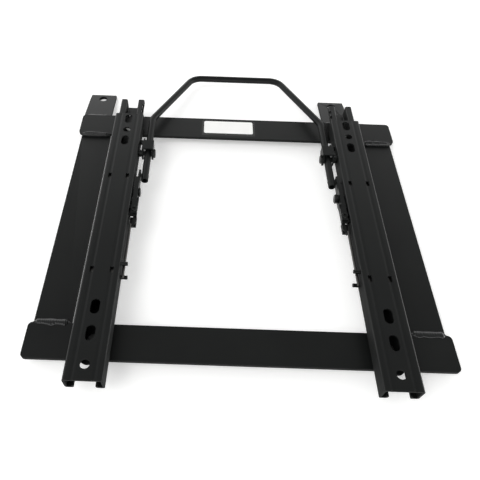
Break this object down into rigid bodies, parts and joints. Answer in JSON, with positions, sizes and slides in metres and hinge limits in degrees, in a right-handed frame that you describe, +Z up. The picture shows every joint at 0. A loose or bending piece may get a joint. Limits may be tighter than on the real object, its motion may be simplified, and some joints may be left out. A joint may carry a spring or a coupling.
{
  "type": "seat slide rail",
  "caption": "Welded flat-bar seat base with a pair of sliding seat rails, toothed locks, spring return and a bent-rod towel-bar release handle at the front.",
  "frame": {"origin": "under the middle of the box around the part, at the level of the tips of the front tabs", "axes": "+X to the right seen from the rear, +Y to the front of the vehicle where the handle is, +Z up"},
  "size_m": [0.4624, 0.5186, 0.0402],
  "materials": {
    "black_powder_coat": "satin black powder coat on steel",
    "blackened_fastener": "black coated fastener steel",
    "spring_steel": "dark spring, bolt and bearing steel"
  },
  "bodies": {
    "base": {"left_side_plate": "black_powder_coat", "right_side_plate": "black_powder_coat", "right_front_tab": "black_powder_coat", "front_cross_bar": "black_powder_coat", "rear_cross_bar": "black_powder_coat", "weld_beads": "black_powder_coat", "left_lower_rail": "black_powder_coat", "right_lower_rail": "black_powder_coat", "rail_bolts": "spring_steel", "rail_nuts": "blackened_fastener"},
    "left_carriage": {"left_upper_rail": "black_powder_coat", "left_saddle": "black_powder_coat", "left_saddle_stud": "blackened_fastener", "left_pivot_bolt": "blackened_fastener", "left_pivot_spacer": "blackened_fastener", "left_lever_bolt": "blackened_fastener", "left_spring_studs": "spring_steel"},
    "right_carriage": {"right_upper_rail": "black_powder_coat", "right_saddle": "black_powder_coat", "right_saddle_stud": "blackened_fastener", "right_pivot_bolt": "blackened_fastener", "right_pivot_spacer": "blackened_fastener", "right_lever_bolt": "blackened_fastener", "right_spring_studs": "spring_steel"},
    "handle": {"towel_bar": "black_powder_coat", "lever_pins": "spring_steel"},
    "left_lock": {"left_lock_lever": "black_powder_coat", "left_lock_plate": "black_powder_coat", "left_lever_rivet": "blackened_fastener"},
    "right_lock": {"right_lock_lever": "black_powder_coat", "right_lock_plate": "black_powder_coat", "right_lever_rivet": "blackened_fastener"},
    "left_spring": {"left_return_spring": "spring_steel"},
    "right_spring": {"right_return_spring": "spring_steel"},
    "left_cage": {"left_ball_cages": "spring_steel", "left_balls": "spring_steel"},
    "right_cage": {"right_ball_cages": "spring_steel", "right_balls": "spring_steel"}
  },
  "joints": [
    {"name": "left_slide", "type": "slide", "parent": "base", "child": "left_carriage", "axis": [0, 1, 0], "range_m": [-0.033, 0.176]},
    {"name": "right_slide", "type": "slide", "parent": "base", "child": "right_carriage", "axis": [0, 1, 0], "range_m": [-0.033, 0.176]},
    {"name": "left_cage_roll", "type": "slide", "parent": "base", "child": "left_cage", "axis": [0, 1, 0], "range_m": [-0.017, 0.0885]},
    {"name": "right_cage_roll", "type": "slide", "parent": "base", "child": "right_cage", "axis": [0, 1, 0], "range_m": [-0.017, 0.0885]},
    {"name": "handle_lift", "type": "hinge", "parent": "left_carriage", "child": "handle", "pos_m": [0, 0.06467, 0.03096], "axis": [1, 0, 0], "range_deg": [-2.2, 1.4], "stiffness_Nm_per_rad": 40, "springref_deg": 0.49},
    {"name": "left_lock_turn", "type": "hinge", "parent": "left_carriage", "child": "left_lock", "pos_m": [0, -0.00632, 0.02996], "axis": [1, 0, 0], "range_deg": [-2.1, 3.25]},
    {"name": "right_lock_turn", "type": "hinge", "parent": "right_carriage", "child": "right_lock", "pos_m": [0, -0.00632, 0.02996], "axis": [1, 0, 0], "range_deg": [-2.1, 3.25]},
    {"name": "left_spring_bend", "type": "hinge", "parent": "left_carriage", "child": "left_spring", "pos_m": [0, -0.12133, 0.03631], "axis": [1, 0, 0], "range_deg": [-3, 1.95]},
    {"name": "right_spring_bend", "type": "hinge", "parent": "right_carriage", "child": "right_spring", "pos_m": [0, -0.12133, 0.03631], "axis": [1, 0, 0], "range_deg": [-3, 1.95]}
  ],
  "couplings": [
    {"joint": "right_slide", "follows": "left_slide", "ratio": 1},
    {"joint": "left_cage_roll", "follows": "left_slide", "ratio": 0.5},
    {"joint": "right_cage_roll", "follows": "left_slide", "ratio": 0.5},
    {"joint": "left_lock_turn", "follows": "handle_lift", "ratio": -1.4483},
    {"joint": "right_lock_turn", "follows": "handle_lift", "ratio": -1.4483},
    {"joint": "left_spring_bend", "follows": "handle_lift", "ratio": 1.33},
    {"joint": "right_spring_bend", "follows": "handle_lift", "ratio": 1.33}
  ]
}
